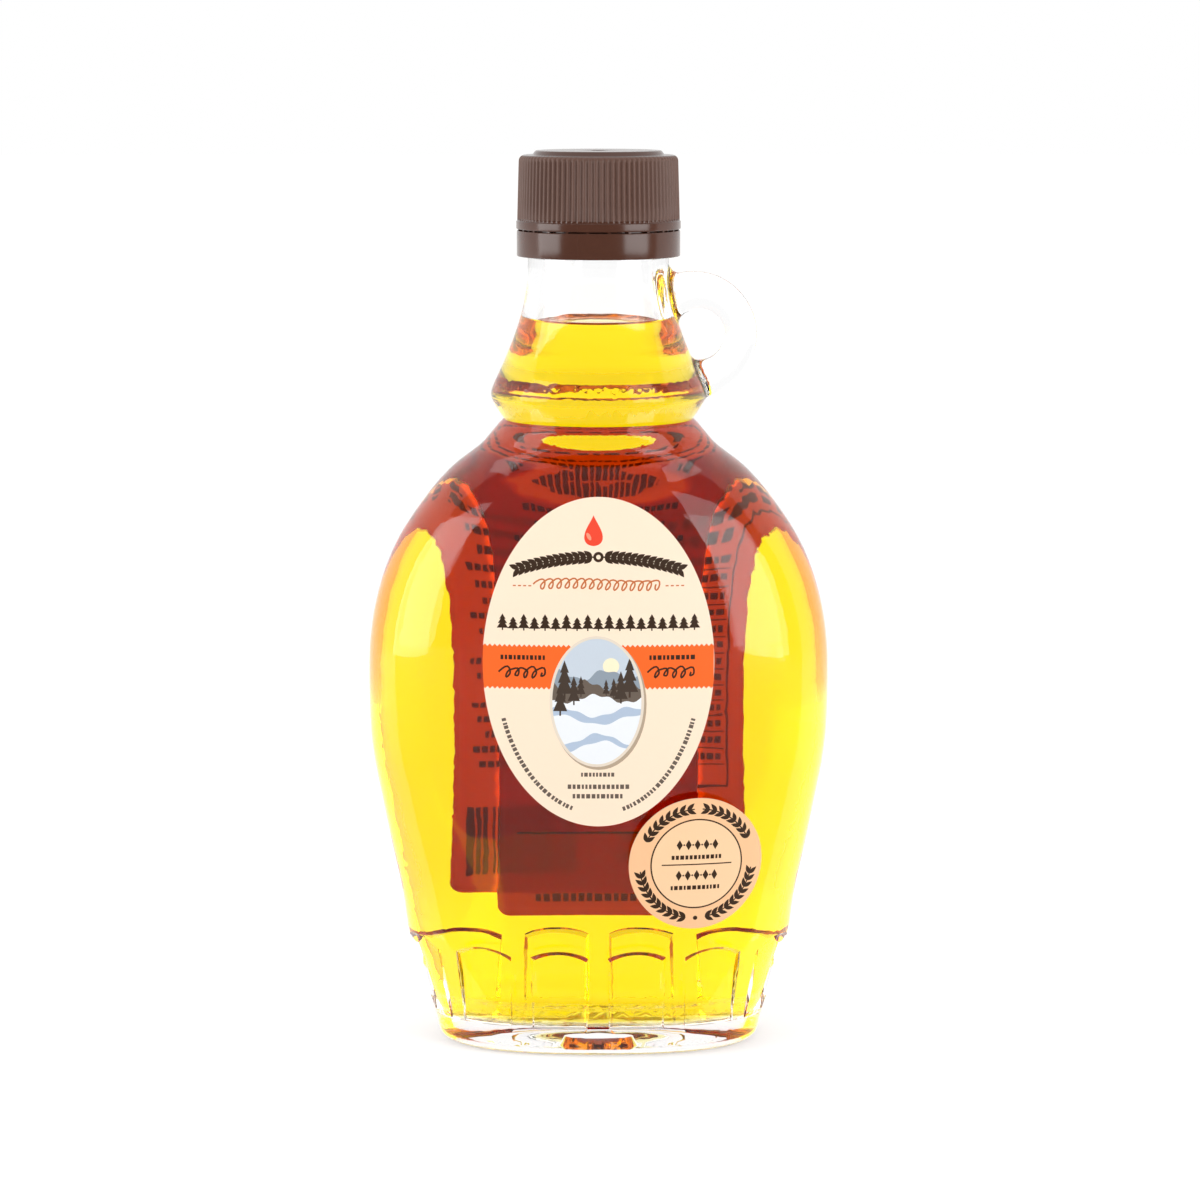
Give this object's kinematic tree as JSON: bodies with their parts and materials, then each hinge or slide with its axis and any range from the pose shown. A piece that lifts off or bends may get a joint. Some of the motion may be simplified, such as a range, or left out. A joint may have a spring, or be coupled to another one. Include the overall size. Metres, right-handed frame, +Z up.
{
  "type": "maple syrup bottle",
  "caption": "Flat oval glass bottle of maple syrup with a ring handle on its neck, a knurled screw cap with a tamper band, and paper labels front and back.",
  "frame": {"origin": "middle of the foot that the bottle stands on", "axes": "+Z up along the neck, +X towards the ring handle, -Y out of the front label"},
  "size_m": [0.0866, 0.0467, 0.1682],
  "materials": {
    "glass": "clear blown flint glass",
    "syrup": "clear amber syrup",
    "cap_plastic": "moulded polypropylene, satin",
    "label_paper": "coated label paper, printed",
    "grade_paper": "coated label paper, printed"
  },
  "bodies": {
    "root": {"glass_bottle": "glass", "syrup": "syrup", "screw_cap": "cap_plastic", "front_label": "label_paper", "grade_label": "grade_paper", "back_label_tall": "label_paper", "back_label_wide": "label_paper"}
  },
  "joints": []
}
